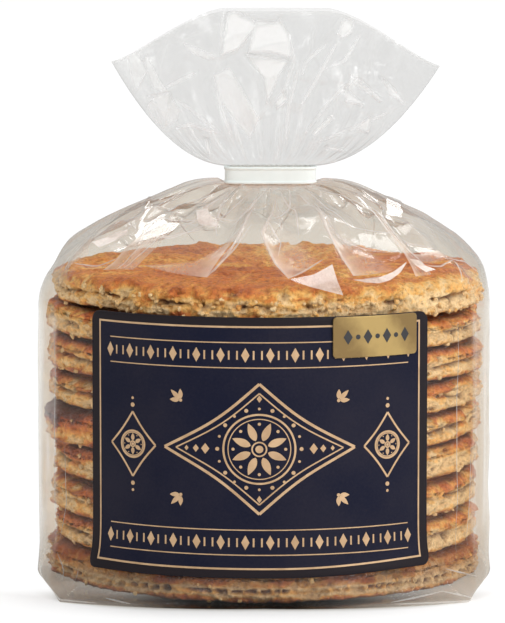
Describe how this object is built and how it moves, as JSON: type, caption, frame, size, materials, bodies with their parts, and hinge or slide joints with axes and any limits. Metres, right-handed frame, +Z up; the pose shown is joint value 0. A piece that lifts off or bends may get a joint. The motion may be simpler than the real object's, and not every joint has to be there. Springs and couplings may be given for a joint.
{
  "type": "sealed bag of round caramel waffle biscuits",
  "caption": "Clear film bag round a flat stack of round caramel waffle biscuits, its neck gathered in a flat white clip below a fan of spare film, with a dark front label and a gold sticker.",
  "frame": {"origin": "middle of the flat base that the bag stands on", "axes": "+Z up, through the stack to the neck; the label faces -Y; +X to the right of someone facing the label"},
  "size_m": [0.0958, 0.0966, 0.1185],
  "materials": {
    "clear_film": "clear, glossy, creased",
    "clip_plastic": "satin white",
    "label_paper": "satin coated paper, dark blue",
    "gold_sticker": "satin gold paper",
    "gold_print": "satin gold ink",
    "waffle": "baked wafer, browned top and pale crumbly rim"
  },
  "bodies": {
    "root": {"bag": "clear_film", "neck_clip": "clip_plastic", "label": "label_paper", "sticker": "gold_sticker"}
  },
  "joints": []
}
